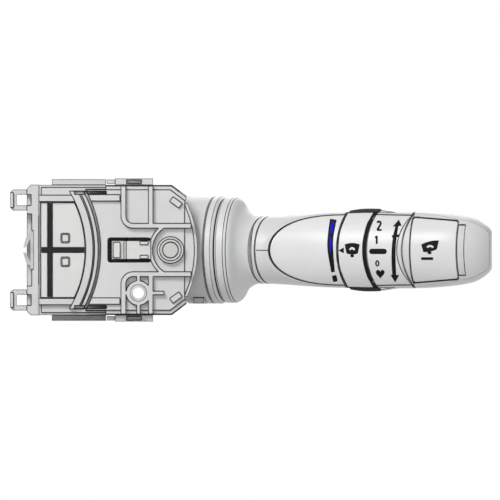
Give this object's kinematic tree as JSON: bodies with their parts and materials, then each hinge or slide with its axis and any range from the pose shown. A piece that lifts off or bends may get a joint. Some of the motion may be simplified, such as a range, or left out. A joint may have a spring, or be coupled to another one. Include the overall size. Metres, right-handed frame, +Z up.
{
  "type": "combination stalk switch",
  "caption": "Steering column wiper stalk: clip-in switch housing, swinging and pulling lever, turning interval ring and a wash button near the tip.",
  "frame": {"origin": "on the swing pivot's axis, at the housing's flat rear seat", "axes": "+X along the lever from the housing to the tip, +Z up, -Y towards the driver"},
  "size_m": [0.1791, 0.0592, 0.0532],
  "materials": {
    "housing_plastic": "fine grained moulded plastic",
    "inner_plastic": "plain moulded plastic",
    "cover_plastic": "smooth moulded plastic",
    "seal_black": "black moulded strip",
    "terminal_metal": "bright",
    "spring_steel": "bright spring steel",
    "board_green": "solder masked board",
    "track_black": "carbon track",
    "screw_steel": "zinc plated",
    "pin_steel": "ground steel",
    "bush_plastic": "self oiling plastic",
    "carrier_plastic": "glass filled plastic",
    "lever_plastic": "fine grained moulded plastic",
    "panel_plastic": "smooth satin plastic with black printing",
    "grip_black": "ribbed grip",
    "button_plastic": "smooth satin plastic with black printing",
    "dome_rubber": "silicone"
  },
  "bodies": {
    "housing": {"rear_case": "housing_plastic", "front_cover": "housing_plastic", "terminal_cover": "cover_plastic", "cover_seal": "seal_black", "connector_housing": "housing_plastic", "connector_pins": "terminal_metal", "locking_hooks": "housing_plastic", "retention_spring": "spring_steel", "circuit_board": "board_green", "fixed_contacts": "terminal_metal", "slider_guide": "inner_plastic", "detent_cam": "inner_plastic", "case_screws": "screw_steel", "pivot_bushes": "bush_plastic", "mounting_sleeve": "pin_steel", "latch_tongue": "inner_plastic"},
    "slider": {"contact_slider": "carrier_plastic", "slider_contacts": "terminal_metal"},
    "carrier": {"swing_carrier": "carrier_plastic", "pull_pin": "pin_steel", "return_spring": "spring_steel"},
    "lever": {"lever_arm": "carrier_plastic", "drum": "lever_plastic", "bell_shroud": "lever_plastic", "neck_ring": "lever_plastic", "stem_rear_shell": "lever_plastic", "stem_front_panel": "panel_plastic", "ring_journal": "inner_plastic", "ring_track": "track_black", "mid_sleeve": "lever_plastic", "position_panel": "panel_plastic", "end_cap": "lever_plastic", "button_dome": "dome_rubber", "lever_board": "board_green", "shell_screws": "screw_steel", "detent_spring": "spring_steel"},
    "ring": {"interval_ring": "panel_plastic", "ring_grip": "grip_black", "ring_wiper": "terminal_metal"},
    "button": {"wash_button": "button_plastic", "button_post": "carrier_plastic"},
    "plunger": {"detent_plunger": "carrier_plastic"}
  },
  "joints": [
    {"name": "wiper_swing", "type": "hinge", "parent": "housing", "child": "carrier", "pos_m": [0, -0.022, 0], "axis": [0, -1, 0], "range_deg": [-5, 15]},
    {"name": "wash_pull", "type": "hinge", "parent": "carrier", "child": "lever", "pos_m": [0, -0.022, 0], "axis": [0, 0, -1], "range_deg": [0, 6], "stiffness_Nm_per_rad": 0.6, "springref_deg": -6.88, "deforming": ["return_spring"]},
    {"name": "interval_ring_turn", "type": "hinge", "parent": "lever", "child": "ring", "pos_m": [0.07044, -0.03956, 0], "axis": [0.9703, -0.2419, 0], "range_deg": [-35, 35]},
    {"name": "wash_button_push", "type": "slide", "parent": "lever", "child": "button", "axis": [0.2419, 0.9703, 0], "range_m": [0, 0.0012], "stiffness_N_per_m": 500, "springref_m": -0.001, "deforming": ["button_dome"]},
    {"name": "detent_plunger_slide", "type": "slide", "parent": "lever", "child": "plunger", "axis": [-0.9703, 0.2419, 0], "range_m": [-0.0008, 0], "stiffness_N_per_m": 600, "springref_m": 0.001, "deforming": ["detent_spring"]},
    {"name": "contact_slider_slide", "type": "slide", "parent": "housing", "child": "slider", "axis": [0, 0, 1], "range_m": [-0.0034, 0.0013]}
  ],
  "couplings": [
    {"joint": "contact_slider_slide", "follows": "wiper_swing", "m_per_rad": -0.012}
  ]
}
